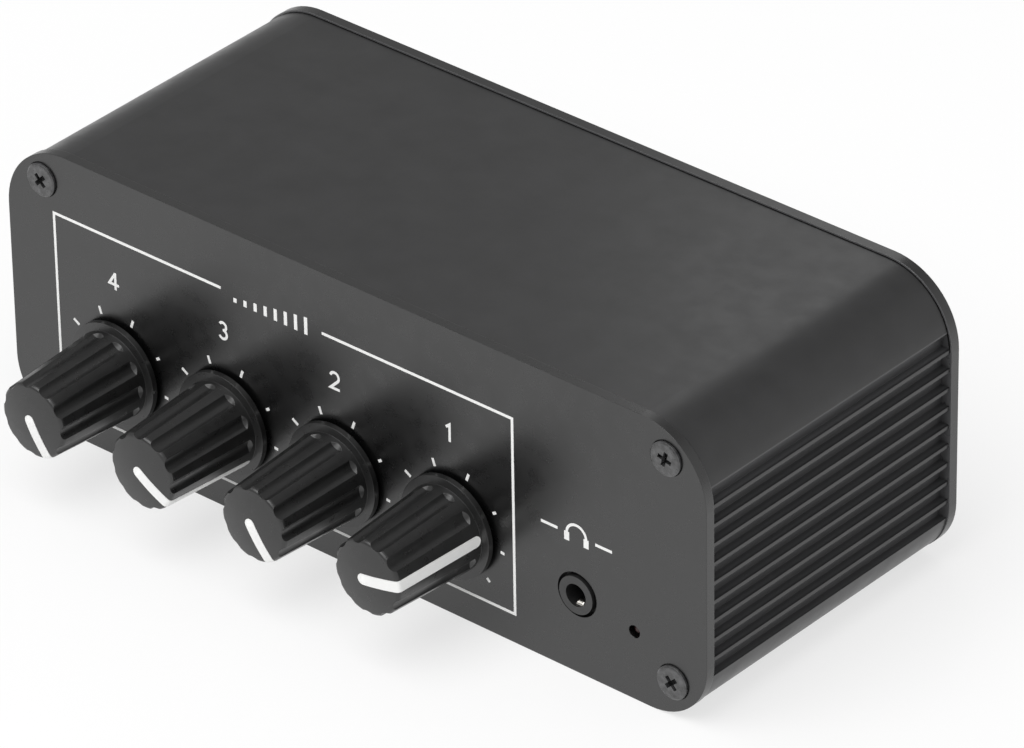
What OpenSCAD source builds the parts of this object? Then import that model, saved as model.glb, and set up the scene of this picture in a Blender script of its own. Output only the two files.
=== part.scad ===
// Four channel stereo mixer: an extruded case with ribbed sides, a flat panel at each end,
// four volume knobs, a headphone jack and a pilot lamp in front, and phono sockets behind.
// Millimetres. +X is to the right seen from the front, +Y runs from the front to the back, +Z is up.
// The origin is the middle of the underside.

/* [Case] */
// Width of the front and rear panels
case_w = 130; // [126:1:160]
// Height of the front and rear panels
case_h = 47; // [45:0.5:60]
// Depth from the outside of the front panel to the outside of the rear panel
case_d = 55; // [52:1:90]
// Radius of the two upper corners
top_corner_r = 11.5; // [9:0.5:12]
// Radius of the two lower corners
bottom_corner_r = 10; // [8:0.5:11]
// Thickness of each panel
panel_t = 1.6; // [1.5:0.1:2.2]
// How far the panels stand out past the shell at the top and the sides
panel_lip = 0.3; // [0.1:0.1:0.6]
// Thickness of the shell's top and floor
wall_t = 1.8; // [1.5:0.1:2.2]
// Thickness of the shell's sides behind the grooves
side_wall_t = 1.4; // [1.3:0.1:2.2]

/* [Side ribs] */
// Number of ribs on each side
rib_count = 9; // [5:1:9]
// Distance from one rib to the next
rib_pitch = 3.1; // [2.8:0.1:3.2]
// Thickness of a rib
rib_w = 0.6; // [0.4:0.1:1]
// Depth of the grooves between the ribs
groove_depth = 1.5; // [0.8:0.1:1.6]
// Height of the middle rib above the base
rib_mid_z = 23.35; // [22.6:0.25:24.1]

/* [Case screws] */
// Distance of the upper screws from the sides of the panels
screw_side_top = 7; // [6.7:0.1:7.2]
// Distance of the lower screws from the sides of the panels
screw_side_base = 6; // [5.8:0.1:6.6]
// Distance of the upper screws from the top of the panels
screw_top = 5.2; // [5:0.1:6]
// Distance of the lower screws from the base
screw_base = 5.8; // [5.4:0.1:6]
// Radius of the screw heads
screw_head_r = 2.65; // [2.4:0.05:3]
// Radius of the screw shanks
screw_shank_r = 1.45; // [1.2:0.05:1.6]
// How far the heads stand out from the panels
screw_rise = 0.5; // [0.3:0.1:0.7]
// Turn of the cross in the screws: lower left, upper left, lower right, upper right
screw_turns = [40, 45, 48, 16]; // [0:1:90]
// Depth of the sunk part of the heads
screw_head_depth = 1.3; // [1:0.1:1.4]
// Length of the screws with their heads
screw_len = 9; // [6:0.5:14]
// Radius of the round screw ports inside the shell
port_r = 2.7; // [2.4:0.1:2.9]

/* [Circuit board] */
// Height of the board's upper face
board_top = 8.6; // [8.2:0.1:9]
// Thickness of the board
board_t = 1.6; // [1:0.1:1.6]
// Thickness of the rails that hold the board
rail_t = 1; // [0.8:0.1:1.2]
// How far the rails reach over the board's edges
rail_grip = 1.5; // [1:0.1:2.5]
// Gap between the board's ends and the panels
board_end_gap = 1; // [0.5:0.1:2]

/* [Front layout] */
// Distance of knob 4 from the left side of the panel
knob_side = 20.475; // [19:0.025:24]
// Distance of the headphone jack from knob 1
knob_jack_gap = 22.875; // [20:0.025:26]
// Height of the knobs' axes
knob_z = 15.1; // [14.6:0.1:17]
// Distance of the headphone jack from the right side of the panel
jack_side = 23.2; // [21:0.1:26]
// Height of the headphone jack
jack_z = 12.9; // [12.4:0.1:15]
// Distance of the pilot lamp from the right side of the panel
lamp_side = 12.9; // [12:0.1:14]
// Height of the pilot lamp
lamp_z = 11.15; // [10.6:0.05:13]

/* [Knobs] */
// Length of a knob from the panel to the crown of its top
knob_len = 18.4; // [17:0.1:22]
// Gap between a knob and the panel
knob_gap = 0.6; // [0.3:0.1:1]
// Radius of the skirt
skirt_r = 8.1; // [7.8:0.1:9]
// Thickness of the skirt's rim
skirt_t = 0.9; // [0.6:0.1:1.1]
// How far the face of the skirt rises from its rim to the body
skirt_rise = 0.1; // [0.05:0.05:0.4]
// Radius of the body where it meets the skirt
body_foot_r = 6.85; // [6.6:0.05:7.2]
// Radius of the body at its top
body_top_r = 5.9; // [5.5:0.05:6.1]
// How far the crown of the top stands above its edge
crown = 0.6; // [0.4:0.1:1.5]
// Radius of the rounded edge of the top
rim_r = 0.6; // [0.6:0.1:1.8]
// Number of places round the body, one for the pointer and the rest for flutes
flute_places = 11; // [8:1:12]
// Distance of the flutes' lower ends from the skirt
flute_lift = 0.6; // [0.5:0.1:2]
// Radius of the flutes
flute_r = 1.6; // [1.4:0.1:2.2]
// Depth of the flutes
flute_depth = 0.55; // [0.3:0.05:0.7]
// Width of the white pointer line
pointer_w = 1.7; // [1:0.1:2]
// Thickness of the white pointer line
pointer_t = 0.45; // [0.3:0.05:0.5]
// How far the pointer runs past the middle of the knob
pointer_tail = 0.3; // [0:0.1:2]
// Clockwise angle of the pointer of knob 1 from straight up
pointer_angle_1 = 82; // [-155:1:155]
// Clockwise angle of the pointer of knob 2 from straight up
pointer_angle_2 = 150; // [-155:1:155]
// Clockwise angle of the pointer of knob 3 from straight up
pointer_angle_3 = 126; // [-155:1:155]
// Clockwise angle of the pointer of knob 4 from straight up
pointer_angle_4 = 154; // [-155:1:155]

/* [Potentiometers] */
// Radius of the shafts
shaft_r = 3; // [2.5:0.1:3.1]
// Length of the shafts in front of the panel
shaft_len = 15; // [10:0.5:15]
// Distance of the flat on the shafts from their axes
shaft_flat = 1.5; // [1.2:0.1:2]
// Radius of the threaded bushings
bushing_r = 3.6; // [3.5:0.05:3.8]
// Length of the bushings in front of the panel
bushing_len = 2.2; // [2.1:0.1:2.3]
// Width of the potentiometers
pot_w = 12; // [11.4:0.1:14]
// Height of the potentiometers above their axes
pot_rise = 6; // [5.6:0.1:6.5]
// Gap between the potentiometers and the board
pot_stand = 0.5; // [0.2:0.1:0.7]
// Thickness of the front plates that carry the bushings
pot_plate_t = 1.2; // [0.8:0.1:1.6]
// Thickness of the wafers that carry the resistance tracks
wafer_t = 1; // [0.6:0.1:1.4]
// Thickness of the rotors
rotor_t = 2; // [1.4:0.1:3]
// Radius of the rotors
rotor_r = 4.2; // [4:0.05:4.3]
// Thickness of the wipers
wiper_t = 0.3; // [0.2:0.05:0.4]
// Thickness of the back walls of the housings
pot_back_t = 1.2; // [0.8:0.1:2]
// Thickness of the nuts
nut_t = 1.5; // [1.2:0.1:1.6]
// Width of the nuts across their flats
nut_flats = 10; // [9:0.1:10.4]
// Thickness of the washers
washer_t = 0.5; // [0.3:0.05:0.6]
// Radius of the washers
washer_r = 5.6; // [5:0.1:6]

/* [Headphone jack] */
// Radius of the plug's hole
jack_bore_r = 1.8; // [1.8:0.01:1.85]
// Radius of the jack's nose
jack_nose_r = 3; // [2.6:0.1:3.2]
// Gap round the nose in the panel
jack_nose_gap = 0.5; // [0.2:0.05:0.6]
// How far the nose stands out from the panel's face
jack_proud = 0.3; // [0:0.1:0.6]
// Width of the jack's body
jack_w = 10; // [9:0.5:12]
// Height of the jack's body above its axis
jack_rise = 4.4; // [4:0.1:6]
// Length of the jack's body behind the panel
jack_len = 13; // [12:0.5:16]

/* [Pilot lamp] */
// Radius of the lamp's lens
lamp_r = 0.95; // [0.8:0.05:1]
// How far the lens lies behind the panel's face
lamp_sunk = 0.5; // [0.2:0.1:0.9]
// Radius of the lamp's flange
lamp_flange_r = 1.3; // [1.2:0.05:1.5]
// Length of the lamp's body behind the panel
lamp_len = 3; // [2:0.1:4]

/* [Phono sockets] */
// Distance of the first pair of sockets from the side of the panel behind knob 4
phono_side = 19; // [17:0.5:20]
// Distance of the power inlet from the nearest pair of sockets
phono_inlet_gap = 19; // [16:0.5:20]
// Height of the lower sockets
phono_low_z = 15; // [14.8:0.1:17]
// Distance from the lower socket to the upper one
phono_rise = 14; // [12.5:0.5:15]
// Radius of the barrels
barrel_r = 4.15; // [4:0.05:4.3]
// Thickness of the barrels
barrel_t = 0.6; // [0.4:0.05:0.8]
// Length of the barrels behind the rear panel
barrel_len = 9; // [7.5:0.5:10]
// Radius of the collars round the barrels
collar_r = 5.4; // [5.2:0.1:5.8]
// How far the collars stand out of the rear panel
collar_len = 1; // [0.6:0.1:2]
// Width of the sockets' housings
phono_w = 12; // [11.8:0.1:14]
// Depth of the sockets' housings
phono_d = 12; // [10:0.5:13]
// Radius of the hole for the plug's pin
phono_pin_r = 1.65; // [1.6:0.05:1.8]

/* [Power inlet] */
// Distance of the power inlet from the side of the panel behind the lamp
inlet_side = 20; // [18:0.5:21]
// Height of the power inlet
inlet_z = 15.1; // [14.6:0.1:18]
// Radius of the inlet's hole
inlet_bore_r = 3.1; // [2.9:0.05:3.2]
// Radius of the inlet's nose
inlet_nose_r = 4.4; // [4.2:0.1:4.6]
// Radius of the inlet's centre pin
inlet_pin_r = 1; // [0.8:0.05:1.25]
// Depth of the inlet's hole
inlet_depth = 9.5; // [9:0.5:11]
// Width of the inlet's housing
inlet_w = 10; // [9.6:0.1:12]
// Depth of the inlet's housing
inlet_d = 13; // [12.5:0.5:15]

/* [Hidden] */
$fn = 48;
cut = 1;

// Clearances
screw_gap = 0.1;
port_gap = 0.05;
rail_gap = 0.1;
bushing_hole_gap = 0.1;
shaft_run_gap = 0.05;
press_gap = 0.03;
pointer_gap = 0.04;
pin_hole_gap = 0.15;
collar_gap = 0.15;
lamp_gap = 0.05;
wiper_gap = 0.35;
rotor_room = 0.5;
nut_gap = 0.05;
slot_gap = 0.05;
pointer_proud = 0.05;
board_side_gap = 0.3;
recess_room = 0.3;
shaft_end_room = 0.4;

// Faces of the panels, from the front to the back
front_face = -case_d / 2;
front_inside = front_face + panel_t;
rear_face = case_d / 2;
rear_inside = rear_face - panel_t;

// Shell
shell_w = case_w - 2 * panel_lip;
shell_h = case_h - panel_lip;
shell_top_r = top_corner_r - panel_lip;
shell_bottom_r = bottom_corner_r - panel_lip;
side_t = groove_depth + side_wall_t;
hollow_w = shell_w - 2 * side_t;
hollow_h = shell_h - 2 * wall_t;
hollow_top_r = shell_top_r - side_t;
hollow_bottom_r = shell_bottom_r - side_t;
groove_h = rib_pitch - rib_w;
groove_low = rib_mid_z - (rib_count * rib_pitch + groove_h) / 2;

// Screws
screw_sides = [screw_side_base, screw_side_top];
screw_xs = [for (side = screw_sides) case_w / 2 - side];
screw_zs = [screw_base, case_h - screw_top];
cross_long = 0.9 * screw_head_r;
cross_wide = 0.26 * screw_head_r;
cross_deep = 0.6 * screw_head_depth;
screw_wall = 0.7 * screw_rise;
screw_face_r = screw_head_r - 0.25;

// Board
board_bottom = board_top - board_t;
board_half_w = screw_xs[0] - port_r - board_side_gap;
board_front = front_inside + board_end_gap;
board_rear = rear_inside - board_end_gap;
board_mid = (board_front + board_rear) / 2;
pin_r = 0.35;
pin_below = 1.2;

// Layout of the front panel
channels = [1, 2, 3, 4];
jack_x = case_w / 2 - jack_side;
lamp_x = case_w / 2 - lamp_side;
knob_pitch = (case_w - knob_side - knob_jack_gap - jack_side) / (len(channels) - 1);

// Knobs
angles = [pointer_angle_1, pointer_angle_2, pointer_angle_3, pointer_angle_4];
body_foot = knob_gap + skirt_t + skirt_rise;
crown_r = (body_top_r * body_top_r + crown * crown) / (2 * crown);
crown_mid = [0, knob_len - crown_r];
taper = atan((body_foot_r - body_top_r) / (knob_len - body_foot));
side_up = [-sin(taper), cos(taper)];
side_out = [cos(taper), sin(taper)];
rim_start = [body_foot_r, body_foot] - rim_r * side_out - crown_mid;
rim_along = rim_start * side_up;
rim_reach = crown_r - rim_r;
rim_rise = sqrt(rim_along * rim_along - rim_start * rim_start + rim_reach * rim_reach) - rim_along;
rim_mid = crown_mid + rim_start + rim_rise * side_up;
rim_turn = acos(rim_mid[0] / rim_reach);
rim_steps = 3;
recess_side_gap = 0.25;
knob_recess_r = max(washer_r, nut_flats / sqrt(3)) + recess_side_gap;
knob_recess = bushing_len + recess_room;
knob_bore_end = shaft_len + shaft_end_room;
flute_ledge = 0.3;
pointer_lift = 0.1;

// Potentiometers, as distances behind the inside of the front panel
wafer_front = pot_plate_t;
rotor_front = wafer_front + wafer_t + wiper_gap + wiper_t;
rotor_back = rotor_front + rotor_t;
wafer_back = rotor_back + wiper_t + wiper_gap;
pot_cavity_end = wafer_back + wafer_t;
pot_end = pot_cavity_end + pot_back_t;
pot_cavity_r = rotor_r + rotor_room;
pot_bottom = board_top + pot_stand;
pot_pin_xs = [-pot_w / 3, 0, pot_w / 3];
wiper_inset = 0.3;
wiper_outer_r = rotor_r - wiper_inset;
wiper_inner_r = shaft_r + press_gap;

// Headphone jack
jack_front = front_face - jack_proud;
jack_end = front_inside + jack_len;
jack_leaf_t = 0.4;
jack_leaf_w = 2.4;
jack_leaf_x = jack_bore_r + slot_gap;
jack_leaf_inset = 4;
jack_leaf_pitch = 3;
jack_leaf_sides = [-1, 1, -1];
jack_leaf_rise = 1.2;
jack_window = 0.85 * jack_bore_r;

// Pilot lamp
lamp_front = front_face + lamp_sunk;
lamp_end = front_inside + lamp_len;
lamp_lead_t = 0.4;
lamp_lead_x = 0.6;
lamp_lead_back = 1.2;

// Phono sockets
pairs = [1, 2, 3, 4, 5];
inlet_x = case_w / 2 - inlet_side;
phono_pitch = (case_w - phono_side - phono_inlet_gap - inlet_side) / (len(pairs) - 1);
phono_roof = 0.6;
phono_top = phono_low_z + phono_rise + collar_r + phono_roof;
phono_front = rear_inside - phono_d;
barrel_seat = 3;
barrel_start = rear_inside - barrel_seat;
barrel_end = rear_face + barrel_len;
barrel_shoulder = rear_face + collar_len;
barrel_root_r = barrel_r - barrel_t / 3;
insert_r = barrel_r - barrel_t - press_gap;
insert_sunk = 0.4;
insert_end = barrel_end - insert_sunk;
contact_t = 0.35;
contact_seat = 3;
contact_sunk = 2;
contact_start = barrel_start - contact_seat;
contact_end = barrel_end - contact_sunk;
contact_r = phono_pin_r + contact_t;
phono_pin_inset = 2;
phono_pin_pitch = 4;
phono_pin_ys = [for (i = [0 : 2]) phono_front + phono_pin_inset + i * phono_pin_pitch];

// Power inlet
inlet_front = rear_inside - inlet_d;
inlet_proud = 0.2;
inlet_mouth = rear_face + inlet_proud;
inlet_floor = inlet_mouth - inlet_depth;
inlet_pin_sunk = 0.8;
inlet_pin_end = inlet_mouth - inlet_pin_sunk;
inlet_pin_root = 2;
inlet_leaf_t = 0.4;
inlet_leaf_w = 3;
inlet_leaf_in = 2;
inlet_leaf_y = inlet_floor + inlet_leaf_in;
inlet_leaf_x = inlet_bore_r + slot_gap;
inlet_window = 0.8 * inlet_bore_r;
inlet_roof = 0.6;
inlet_top = inlet_z + inlet_nose_r + inlet_roof;

// Small parts on the board
chip_w = 5;
chip_d = 4;
chip_h = 1.5;
chip_stand = 0.2;
chip_pitch = 1.27;
chip_lead_w = 0.45;
chip_lead_out = 1;
chip_lead_h = 0.9;
chip_row = -2.5;
chip_y = board_mid + chip_row;
can_r = 2.5;
can_h = 7;
can_groove = 0.3;
can_groove_z = 1;
can_gap = 2;
can_y = front_inside + pot_end + can_r + can_gap;
can_spread = 5;
film_w = 7.2;
film_d = 2.6;
film_h = 5.5;
film_gap = 4.7;
film_y = phono_front - film_gap - film_d / 2;
film_count = 9;
film_margin = 13.2;
film_pitch = 2 * (board_half_w - film_margin) / (film_count - 1);
chip_resistor = [2, 1.25, 0.5];
resistor_row = 2.6;
resistor_y = board_mid + resistor_row;
resistor_count = 19;
resistor_margin = 10.2;
resistor_pitch = 2 * (board_half_w - resistor_margin) / (resistor_count - 1);
regulator_w = 6.5;
regulator_d = 3.5;
regulator_h = 1.6;
regulator_inset = 6;
regulator_x = board_half_w - regulator_inset;

// Colours
case_black = [0.17, 0.17, 0.17];
panel_black = [0.2, 0.2, 0.2];
knob_black = [0.09, 0.09, 0.09];
steel = [0.62, 0.62, 0.63];
dark_steel = [0.12, 0.12, 0.12];
brass = [0.75, 0.6, 0.28];
board_green = [0.06, 0.26, 0.14];
plastic_black = [0.07, 0.07, 0.07];
phenolic = [0.42, 0.25, 0.12];

// A cylinder along Y
module rod(r, y0, y1) {
    translate([0, y1, 0])
        rotate([90, 0, 0])
            cylinder(r = r, h = y1 - y0);
}

// A cone along Y, of radius r0 at y0 and r1 at y1
module cone(r0, r1, y0, y1) {
    translate([0, y1, 0])
        rotate([90, 0, 0])
            cylinder(r1 = r1, r2 = r0, h = y1 - y0);
}

// A tube along Y
module tube(outer, inner, y0, y1) {
    difference() {
        rod(outer, y0, y1);
        rod(inner, y0 - cut, y1 + cut);
    }
}

// A flat outline in X and Z, thickened along Y
module slab(y0, y1) {
    translate([0, y1, 0])
        rotate([90, 0, 0])
            linear_extrude(y1 - y0)
                children();
}

// A box between two corners
module block(low, high) {
    translate(low)
        cube(high - low);
}

// Outline with two radii, standing on the X axis
module outline(w, h, upper_r, lower_r) {
    translate([lower_r - w / 2, 0])
        square([w - 2 * lower_r, h / 2]);
    translate([-w / 2, lower_r])
        square([w, h - upper_r - lower_r]);
    translate([upper_r - w / 2, h / 2])
        square([w - 2 * upper_r, h / 2]);
    for (side = [-1, 1]) {
        translate([side * (w / 2 - lower_r), lower_r])
            circle(lower_r);
        translate([side * (w / 2 - upper_r), h - upper_r])
            circle(upper_r);
    }
}

module shell_outline() {
    outline(shell_w, shell_h, shell_top_r, shell_bottom_r);
}

// Round screw ports, filled out to the corners of the shell
module port_outlines() {
    for (side = [0, 1], level = [0, 1])
        mirror([side, 0])
            translate([screw_xs[level], screw_zs[level]])
                mirror([0, 1 - level]) {
                    circle(port_r);
                    translate([-port_r, 0])
                        square([port_r + screw_sides[level], screw_top + screw_base]);
                    translate([0, -port_r])
                        square([screw_sides[level], port_r + screw_top + screw_base]);
                }
}

// Two rails on each side, above and below the edges of the board
module rail_outlines() {
    rail_tip = board_half_w - rail_grip;
    rail_w = hollow_w / 2 + side_wall_t / 2 - rail_tip;
    for (side = [0, 1])
        mirror([side, 0]) {
            translate([rail_tip, board_top + rail_gap])
                square([rail_w, rail_t]);
            translate([rail_tip, board_bottom - rail_gap - rail_t])
                square([rail_w, rail_t]);
        }
}

module groove_outlines() {
    for (side = [0, 1], i = [0 : rib_count])
        mirror([side, 0])
            translate([shell_w / 2 - groove_depth, groove_low + i * rib_pitch])
                square([groove_depth + cut, groove_h]);
}

module case_shell() {
    color(case_black)
        slab(front_inside, rear_inside)
            difference() {
                union() {
                    difference() {
                        shell_outline();
                        translate([0, wall_t])
                            outline(hollow_w, hollow_h, hollow_top_r, hollow_bottom_r);
                    }
                    intersection() {
                        shell_outline();
                        union() {
                            port_outlines();
                            rail_outlines();
                        }
                    }
                }
                groove_outlines();
                for (side = [-1, 1], level = [0, 1])
                    translate([side * screw_xs[level], screw_zs[level]])
                        circle(screw_shank_r + port_gap);
            }
}

module at_screws() {
    for (side = [0, 1], level = [0, 1])
        translate([(2 * side - 1) * screw_xs[level], 0, screw_zs[level]])
            rotate([0, screw_turns[2 * side + level], 0])
                children();
}

// A screw along +Y, whose head is sunk from 0 and stands out before it
module screw() {
    difference() {
        union() {
            cone(screw_face_r, screw_head_r, -screw_rise, -screw_wall);
            rod(screw_head_r, -screw_wall, 0);
            cone(screw_head_r, screw_shank_r, 0, screw_head_depth);
            rod(screw_shank_r, 0, screw_len);
        }
        for (turn = [0, 90])
            rotate([0, turn, 0])
                block(
                    [-cross_long / 2, -screw_rise - cut, -cross_wide / 2],
                    [cross_long / 2, cross_deep, cross_wide / 2]
                );
    }
}

module screw_hole() {
    cone(screw_head_r + screw_gap, screw_shank_r + screw_gap, 0, screw_head_depth);
    rod(screw_shank_r + screw_gap, -cut, panel_t + cut);
}

// A panel whose outside is at 0 and whose inside faces +Y, with its four screw holes
module panel_blank() {
    difference() {
        slab(0, panel_t)
            outline(case_w, case_h, top_corner_r, bottom_corner_r);
        at_screws()
            screw_hole();
    }
}

module front_panel() {
    color(panel_black)
        difference() {
            translate([0, front_face, 0])
                panel_blank();
            for (n = channels)
                translate([knob_x(n), 0, knob_z])
                    rod(bushing_r + bushing_hole_gap, front_face - cut, front_inside + cut);
            translate([jack_x, 0, jack_z])
                rod(jack_nose_r + jack_nose_gap, front_face - cut, front_inside + cut);
            translate([lamp_x, 0, lamp_z])
                rod(lamp_r + lamp_gap, front_face - cut, front_inside + cut);
        }
}

module rear_panel() {
    color(panel_black)
        difference() {
            translate([0, rear_face, 0])
                mirror([0, 1, 0])
                    panel_blank();
            at_phonos()
                rod(collar_r + collar_gap, rear_inside - cut, rear_face + cut);
            translate([inlet_x, 0, inlet_z])
                rod(inlet_nose_r + collar_gap, rear_inside - cut, rear_face + cut);
        }
}

module front_screws() {
    color(dark_steel)
        at_screws()
            translate([0, front_face, 0])
                screw();
}

module rear_screws() {
    color(dark_steel)
        at_screws()
            translate([0, rear_face, 0])
                mirror([0, 1, 0])
                    screw();
}

// A round pin that hangs from z through the board
module board_pin(z) {
    translate([0, 0, board_bottom - pin_below])
        cylinder(r = pin_r, h = z - board_bottom + pin_below, $fn = 16);
}

module board_hole() {
    translate([0, 0, board_bottom - cut])
        cylinder(r = pin_r + pin_hole_gap, h = board_t + 2 * cut, $fn = 16);
}

module at_pot_pins() {
    for (n = channels, x = pot_pin_xs, y = [wafer_front + wafer_t / 2, wafer_back + wafer_t / 2])
        translate([knob_x(n) + x, front_inside + y, 0])
            children();
}

module at_phono_pins() {
    for (n = pairs, y = phono_pin_ys)
        translate([phono_x(n), y, 0])
            children();
}

module main_board() {
    color(board_green)
        difference() {
            block([-board_half_w, board_front, board_bottom], [board_half_w, board_rear, board_top]);
            at_pot_pins()
                board_hole();
            at_phono_pins()
                board_hole();
        }
}

// Sideways place of a channel's knob; channel 1 is the one on the right
function knob_x(n) = knob_side - case_w / 2 + (len(channels) - n) * knob_pitch;

// Puts a channel's parts on their axis, with +Z out of the panel and +Y along the pointer
module on_axis(n) {
    translate([knob_x(n), front_face, knob_z])
        rotate([90, 0, 0])
            rotate([0, 0, -angles[n - 1]])
                children();
}

// A point on the rounded edge of a knob's top, from 0 at the side to 1 at the crown
function rim_point(part, grow) =
    let (angle = taper + part * (rim_turn - taper))
    rim_mid + (rim_r + grow) * [cos(angle), sin(angle)];

// The round body of a knob without its flutes, grown all over by the given amount
module knob_body(grow) {
    rim = [for (i = [0 : rim_steps - 1]) rim_point(i / rim_steps, grow)];
    rim_end = 2 * rim_point(1, grow) - rim[rim_steps - 1];
    foot = [body_foot_r + grow / cos(taper), body_foot];
    over = knob_len + cut;
    intersection() {
        rotate_extrude()
            polygon(concat([[0, body_foot], foot], rim, [rim_end, [rim_end[0], over], [0, over]]));
        translate([0, 0, crown_mid[1]])
            sphere(crown_r + grow);
    }
}

module knob_skirt() {
    rotate_extrude()
        polygon([
            [0, knob_gap],
            [skirt_r, knob_gap],
            [skirt_r, knob_gap + skirt_t],
            [body_foot_r, body_foot],
            [0, body_foot]
        ]);
}

// The flutes, which run out at the foot on a slope
module knob_flutes() {
    outline = [
        [0, -flute_ledge],
        [flute_r - flute_depth - flute_ledge, -flute_ledge],
        [flute_r, flute_depth],
        [flute_r, knob_len],
        [0, knob_len]
    ];
    for (i = [1 : flute_places - 1])
        rotate([0, 0, i * 360 / flute_places])
            translate([0, body_foot_r + flute_r - flute_depth, body_foot + flute_lift])
                rotate([taper, 0, 0])
                    rotate_extrude()
                        polygon(outline);
}

// The path of the pointer: over the top from its middle, and down the side to the skirt
module pointer_path(w) {
    side_low = body_foot + pointer_lift + pointer_w / 2;
    top_low = knob_len - crown - 2 * pointer_t;
    translate([-w / 2, -pointer_tail, top_low])
        cube([w, pointer_tail + skirt_r, knob_len]);
    translate([0, -pointer_tail, top_low])
        cylinder(r = w / 2, h = knob_len);
    translate([-w / 2, body_top_r / 2, side_low])
        cube([w, skirt_r, knob_len]);
    translate([0, body_top_r / 2, side_low])
        rotate([-90, 0, 0])
            cylinder(r = w / 2, h = skirt_r);
}

module shaft_section(r, flat, z0, z1) {
    difference() {
        translate([0, 0, z0])
            cylinder(r = r, h = z1 - z0);
        translate([-r - cut, flat, z0 - cut])
            cube([2 * (r + cut), r + cut, z1 - z0 + 2 * cut]);
    }
}

module knob(n) {
    color(knob_black)
        on_axis(n)
            difference() {
                union() {
                    knob_skirt();
                    knob_body(0);
                }
                knob_flutes();
                translate([0, 0, knob_gap - cut])
                    cylinder(r = knob_recess_r, h = knob_recess - knob_gap + cut);
                shaft_section(shaft_r + press_gap, shaft_flat + press_gap, knob_gap, knob_bore_end);
                difference() {
                    pointer_path(pointer_w + 2 * pointer_gap);
                    knob_body(-pointer_t - pointer_gap);
                }
            }
}

module pointer(n) {
    color("white")
        on_axis(n)
            difference() {
                intersection() {
                    pointer_path(pointer_w);
                    knob_body(pointer_proud);
                }
                knob_body(-pointer_t);
            }
}

module pot_shaft(n) {
    flat_start = bushing_len + press_gap;
    color(steel)
        on_axis(n) {
            shaft_section(shaft_r, shaft_flat, 0, shaft_len);
            translate([0, 0, -panel_t - rotor_back])
                cylinder(r = shaft_r, h = panel_t + rotor_back + flat_start);
            translate([0, 0, -panel_t - rotor_back])
                cylinder(r = rotor_r, h = rotor_t);
        }
}

// Two spring rings, one on each face of the rotor
module pot_wipers(n) {
    color(brass)
        on_axis(n)
            for (face = [-panel_t - rotor_front, -panel_t - rotor_back - wiper_t])
                translate([0, 0, face])
                    difference() {
                        cylinder(r = wiper_outer_r, h = wiper_t);
                        translate([0, 0, -cut])
                            cylinder(r = wiper_inner_r, h = wiper_t + 2 * cut);
                    }
}

module pot_box(y0, y1) {
    block([-pot_w / 2, y0, pot_bottom - knob_z], [pot_w / 2, y1, pot_rise]);
}

module pot_housing(n) {
    color(plastic_black)
        translate([knob_x(n), front_inside, knob_z])
            difference() {
                pot_box(pot_plate_t, pot_end);
                rod(pot_cavity_r, pot_plate_t - cut, pot_cavity_end);
            }
}

module pot_bushings() {
    color(steel)
        for (n = channels)
            translate([knob_x(n), front_inside, knob_z])
                difference() {
                    union() {
                        pot_box(0, pot_plate_t);
                        rod(bushing_r, -panel_t - bushing_len, pot_plate_t);
                    }
                    rod(shaft_r + shaft_run_gap, -panel_t - bushing_len - cut, pot_plate_t + cut);
                }
}

module pot_wafers() {
    color(phenolic)
        for (n = channels)
            translate([knob_x(n), front_inside, knob_z]) {
                tube(pot_cavity_r - press_gap, shaft_r + wiper_gap, wafer_front, wafer_front + wafer_t);
                rod(pot_cavity_r - press_gap, wafer_back, wafer_back + wafer_t);
            }
}

module pot_pins() {
    color(steel)
        at_pot_pins()
            board_pin(pot_bottom);
}

module pot_nuts() {
    color(steel)
        for (n = channels)
            translate([knob_x(n), front_face - washer_t - nut_t, knob_z])
                rotate([-90, 0, 0])
                    difference() {
                        cylinder(r = nut_flats / sqrt(3), h = nut_t, $fn = 6);
                        translate([0, 0, -cut])
                            cylinder(r = bushing_r + nut_gap, h = nut_t + 2 * cut);
                    }
}

module pot_washers() {
    color(steel)
        for (n = channels)
            translate([knob_x(n), 0, knob_z])
                tube(washer_r, bushing_r + bushing_hole_gap, front_face - washer_t, front_face);
}

module phones_jack() {
    color(plastic_black)
        translate([jack_x, 0, jack_z])
            difference() {
                union() {
                    block(
                        [-jack_w / 2, front_inside, board_top - jack_z],
                        [jack_w / 2, jack_end, jack_rise]
                    );
                    rod(jack_nose_r, jack_front, front_inside + cut);
                }
                rod(jack_bore_r, jack_front - cut, jack_end - cut);
                jack_blades(jack_window, slot_gap);
            }
}

// The contact blades beside the plug's hole, from the given distance off its axis
module jack_blades(inner, grow) {
    for (i = [0 : len(jack_leaf_sides) - 1])
        mirror([(1 - jack_leaf_sides[i]) / 2, 0, 0])
            translate([0, front_inside + jack_leaf_inset + i * jack_leaf_pitch, 0])
                block(
                    [inner, -jack_leaf_w / 2 - grow, board_top - jack_z],
                    [jack_leaf_x + jack_leaf_t + grow, jack_leaf_w / 2 + grow, jack_leaf_rise + grow]
                );
}

module phones_contacts() {
    color(steel)
        translate([jack_x, 0, jack_z])
            jack_blades(jack_leaf_x, 0);
}

module pilot_lamp() {
    color([0.16, 0.05, 0.05])
        translate([lamp_x, 0, lamp_z]) {
            translate([0, lamp_front, 0])
                rotate([-90, 0, 0])
                    rotate_extrude() {
                        translate([0, lamp_r])
                            square([lamp_r, lamp_end - lamp_front - lamp_r]);
                        intersection() {
                            translate([0, lamp_r])
                                circle(lamp_r);
                            square(2 * lamp_r);
                        }
                    }
            rod(lamp_flange_r, front_inside + lamp_gap, lamp_end);
        }
}

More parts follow.
